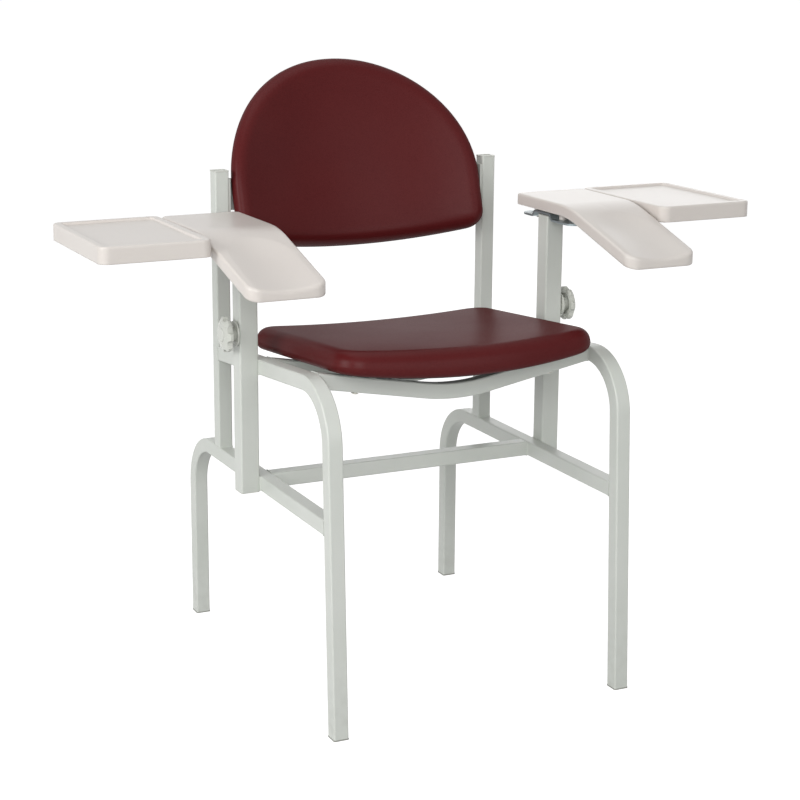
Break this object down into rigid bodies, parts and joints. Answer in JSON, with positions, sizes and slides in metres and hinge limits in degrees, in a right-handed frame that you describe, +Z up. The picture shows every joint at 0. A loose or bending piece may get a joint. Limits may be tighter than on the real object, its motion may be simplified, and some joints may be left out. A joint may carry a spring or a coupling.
{
  "type": "phlebotomy chair",
  "caption": "Blood-draw chair with a square-tube frame, burgundy vinyl seat and back, and height-adjustable swivelling forearm rests with side trays.",
  "frame": {"origin": "on the floor, midway between the four feet", "axes": "+X to the sitter's left, +Y to the back of the chair, +Z up; the sitter faces -Y"},
  "size_m": [1.0156, 0.5742, 0.8883],
  "materials": {
    "frame_paint": "pale grey powder coat, satin",
    "bracket_steel": "satin zinc-plated steel plate",
    "zinc_steel": "zinc plated",
    "moulded_plastic": "warm grey moulded plastic, fine grain",
    "grey_plastic": "grey moulded plastic",
    "black_rubber": "black rubber",
    "vinyl": "burgundy vinyl, semi-gloss with a fine grain",
    "plywood": "plain plywood"
  },
  "bodies": {
    "frame": {"front_seat_bar": "frame_paint", "rear_seat_bar": "frame_paint", "cross_tube": "frame_paint", "sleeve_plugs": "grey_plastic", "post_caps": "grey_plastic", "back_board": "plywood", "back_cushion": "vinyl", "back_bolts": "zinc_steel", "tee_nuts": "zinc_steel", "seat_board": "plywood", "seat_cushion": "vinyl", "seat_bolts": "zinc_steel", "seat_spacers": "black_rubber", "left_front_leg": "frame_paint", "left_rear_leg": "frame_paint", "left_back_post": "frame_paint", "left_arm_sleeve": "frame_paint", "left_clamp_nut": "frame_paint", "left_sleeve_bush": "grey_plastic", "left_front_glide": "grey_plastic", "left_rear_glide": "grey_plastic", "left_back_bracket": "frame_paint", "right_front_leg": "frame_paint", "right_rear_leg": "frame_paint", "right_back_post": "frame_paint", "right_arm_sleeve": "frame_paint", "right_clamp_nut": "frame_paint", "right_sleeve_bush": "grey_plastic", "right_front_glide": "grey_plastic", "right_rear_glide": "grey_plastic", "right_back_bracket": "frame_paint"},
    "left_arm_post": {"left_arm_post": "frame_paint", "left_post_nut": "zinc_steel", "left_post_guide": "grey_plastic", "left_pivot_bolt": "zinc_steel", "left_pivot_washer": "zinc_steel"},
    "left_armrest": {"left_arm_bracket": "bracket_steel", "left_armrest": "moulded_plastic", "left_arm_screws": "zinc_steel", "left_tray": "moulded_plastic", "left_tray_strap": "bracket_steel"},
    "left_knob": {"left_knob": "moulded_plastic", "left_knob_cap": "moulded_plastic", "left_knob_stud": "zinc_steel", "left_pressure_pad": "black_rubber"},
    "right_arm_post": {"right_arm_post": "frame_paint", "right_post_nut": "zinc_steel", "right_post_guide": "grey_plastic", "right_pivot_bolt": "zinc_steel", "right_pivot_washer": "zinc_steel"},
    "right_armrest": {"right_arm_bracket": "bracket_steel", "right_armrest": "moulded_plastic", "right_arm_screws": "zinc_steel", "right_tray": "moulded_plastic", "right_tray_strap": "bracket_steel"},
    "right_knob": {"right_knob": "moulded_plastic", "right_knob_cap": "moulded_plastic", "right_knob_stud": "zinc_steel", "right_pressure_pad": "black_rubber"}
  },
  "joints": [
    {"name": "left_arm_height", "type": "slide", "parent": "frame", "child": "left_arm_post", "axis": [0, 0, 1], "range_m": [0, 0.15]},
    {"name": "left_arm_swivel", "type": "hinge", "parent": "left_arm_post", "child": "left_armrest", "pos_m": [0.2498, -0.0053, 0.66], "axis": [0, 0, 1], "range_deg": [-45, 60]},
    {"name": "left_knob_turn", "type": "hinge", "parent": "frame", "child": "left_knob", "pos_m": [0.278, -0.0053, 0.521], "axis": [1, 0, 0], "range_deg": [0, 360]},
    {"name": "right_arm_height", "type": "slide", "parent": "frame", "child": "right_arm_post", "axis": [0, 0, 1], "range_m": [0, 0.15]},
    {"name": "right_arm_swivel", "type": "hinge", "parent": "right_arm_post", "child": "right_armrest", "pos_m": [-0.2498, -0.0053, 0.66], "axis": [0, 0, 1], "range_deg": [-60, 45]},
    {"name": "right_knob_turn", "type": "hinge", "parent": "frame", "child": "right_knob", "pos_m": [-0.278, -0.0053, 0.521], "axis": [-1, 0, 0], "range_deg": [0, 360]}
  ]
}
